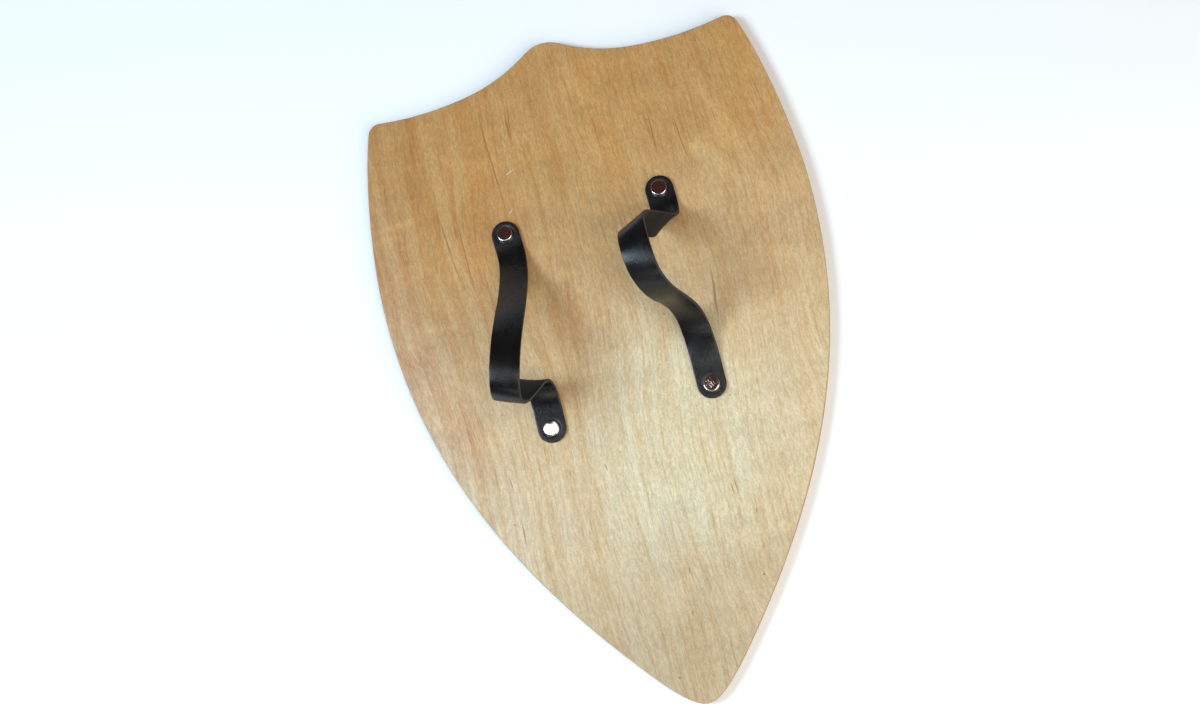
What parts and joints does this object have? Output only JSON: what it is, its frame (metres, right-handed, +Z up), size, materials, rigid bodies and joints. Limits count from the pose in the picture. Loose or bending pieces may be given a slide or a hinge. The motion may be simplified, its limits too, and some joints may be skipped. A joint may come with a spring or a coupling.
{
  "type": "toy heater shield",
  "caption": "Child's play shield: a flat plywood board of heater shape with leather arm straps riveted to its back.",
  "frame": {"origin": "under the middle of the board, at the level of the front rivet heads that it rests on", "axes": "+X to the right as the back is looked at, +Y towards the top peak, +Z up out of the back, where the straps are"},
  "size_m": [0.299, 0.457, 0.0789],
  "materials": {
    "plywood": "clear satin lacquer over birch veneer",
    "leather": "smooth black, low sheen",
    "nickel": "bright nickel plate"
  },
  "bodies": {
    "root": {"shield_board": "plywood", "left_strap": "leather", "right_strap": "leather", "rivet_cap_top_left": "nickel", "rivet_post_top_left": "nickel", "rivet_cap_bottom_left": "nickel", "rivet_post_bottom_left": "nickel", "rivet_cap_top_right": "nickel", "rivet_post_top_right": "nickel", "rivet_cap_bottom_right": "nickel", "rivet_post_bottom_right": "nickel"}
  },
  "joints": []
}
